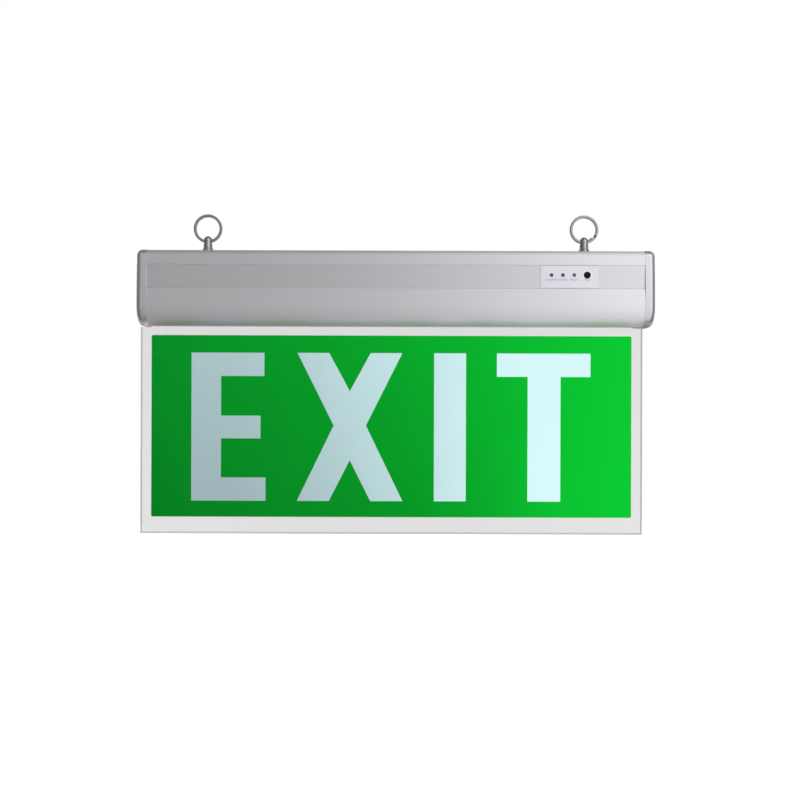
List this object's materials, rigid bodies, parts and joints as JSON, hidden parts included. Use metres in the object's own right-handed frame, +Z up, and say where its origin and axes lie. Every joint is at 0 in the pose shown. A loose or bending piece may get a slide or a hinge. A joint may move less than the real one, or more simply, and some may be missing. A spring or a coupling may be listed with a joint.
{
  "type": "hanging emergency exit light",
  "caption": "Ceiling-hung edge-lit exit sign: an aluminium housing with battery gear carries an acrylic legend panel; split rings hang it and a button tests it.",
  "frame": {"origin": "on the housing's top face, at its centre, midway between the two hanging studs", "axes": "+X along the housing, the front (status plate side) faces -Y, +Z up"},
  "size_m": [0.3644, 0.0384, 0.2281],
  "materials": {
    "housing_aluminium": "silver anodised, satin",
    "end_cap_silver": "moulded ABS, silver paint, satin",
    "screw_steel": "zinc plated",
    "opal_acrylic": "opal acrylic, polished edges",
    "legend_green": "translucent green legend film",
    "clear_acrylic": "clear acrylic, polished",
    "reflector_white": "white reflective tape",
    "channel_aluminium": "mill finish",
    "led_board_white": "white solder mask",
    "emitter_yellow": "phosphor gel",
    "tray_steel": "zinc plated sheet",
    "insulator_film": "polyester film",
    "board_green": "glass-epoxy board, green mask",
    "nylon_white": "natural nylon",
    "transformer_yellow": "tape-wound transformer",
    "capacitor_black": "sleeved can",
    "fuse_brown": "moulded",
    "lead_black": "PVC insulation",
    "lead_red": "PVC insulation",
    "lead_white": "PVC insulation",
    "battery_sleeve": "heat-shrink sleeve",
    "clip_spring_steel": "spring steel",
    "lamp_red": "clear lens, unlit",
    "lamp_green": "clear lens, unlit",
    "lamp_amber": "clear lens, unlit",
    "switch_black": "moulded",
    "button_black": "moulded",
    "status_plate_silver": "printed silver plate",
    "stud_nickel": "nickel plated, turned",
    "ring_nickel": "nickel plated spring steel",
    "grommet_rubber": "grey rubber"
  },
  "bodies": {
    "housing": {"housing_extrusion": "housing_aluminium", "end_cap_left": "end_cap_silver", "end_cap_right": "end_cap_silver", "end_cap_screws_left": "screw_steel", "end_cap_screws_right": "screw_steel", "front_sign_sheet": "opal_acrylic", "back_sign_sheet": "opal_acrylic", "front_legend_film": "legend_green", "back_legend_film": "legend_green", "light_guide": "clear_acrylic", "edge_reflector": "reflector_white", "light_bar_channel": "channel_aluminium", "led_strip_board": "led_board_white", "led_emitters": "emitter_yellow", "panel_clamp_screws": "screw_steel", "panel_clamp_nuts": "screw_steel", "gear_tray": "tray_steel", "driver_insulator": "insulator_film", "driver_board": "board_green", "driver_standoffs": "nylon_white", "driver_transformer": "transformer_yellow", "driver_capacitors": "capacitor_black", "driver_fuse": "fuse_brown", "driver_headers": "nylon_white", "mains_terminal_block": "nylon_white", "terminal_screws": "screw_steel", "mains_leads": "lead_black", "battery_pack": "battery_sleeve", "battery_clips": "clip_spring_steel", "battery_lead": "lead_red", "indicator_board": "board_green", "indicator_board_spacers": "nylon_white", "indicator_board_screws": "screw_steel", "indicator_board_nuts": "screw_steel", "indicator_lead": "lead_white", "light_bar_lead": "lead_white", "charge_lamp": "lamp_red", "mains_lamp": "lamp_green", "fault_lamp": "lamp_amber", "test_switch": "switch_black", "status_plate": "status_plate_silver", "hanging_stud_left": "stud_nickel", "hanging_stud_right": "stud_nickel", "stud_washers": "screw_steel", "stud_nuts": "screw_steel", "cable_grommet": "grommet_rubber"},
    "ring_left": {"hanging_ring_left": "ring_nickel"},
    "ring_right": {"hanging_ring_right": "ring_nickel"},
    "button": {"test_button": "button_black"}
  },
  "joints": [
    {"name": "ring_left_swing", "type": "hinge", "parent": "housing", "child": "ring_left", "pos_m": [-0.1345, 0, 0.0076], "axis": [1, 0, 0], "range_deg": [-113, 113]},
    {"name": "ring_right_swing", "type": "hinge", "parent": "housing", "child": "ring_right", "pos_m": [0.1345, 0, 0.0076], "axis": [1, 0, 0], "range_deg": [-113, 113]},
    {"name": "test_button_press", "type": "slide", "parent": "housing", "child": "button", "axis": [0, 1, 0], "range_m": [0, 0.001], "stiffness_N_per_m": 600, "springref_m": -0.0005}
  ]
}
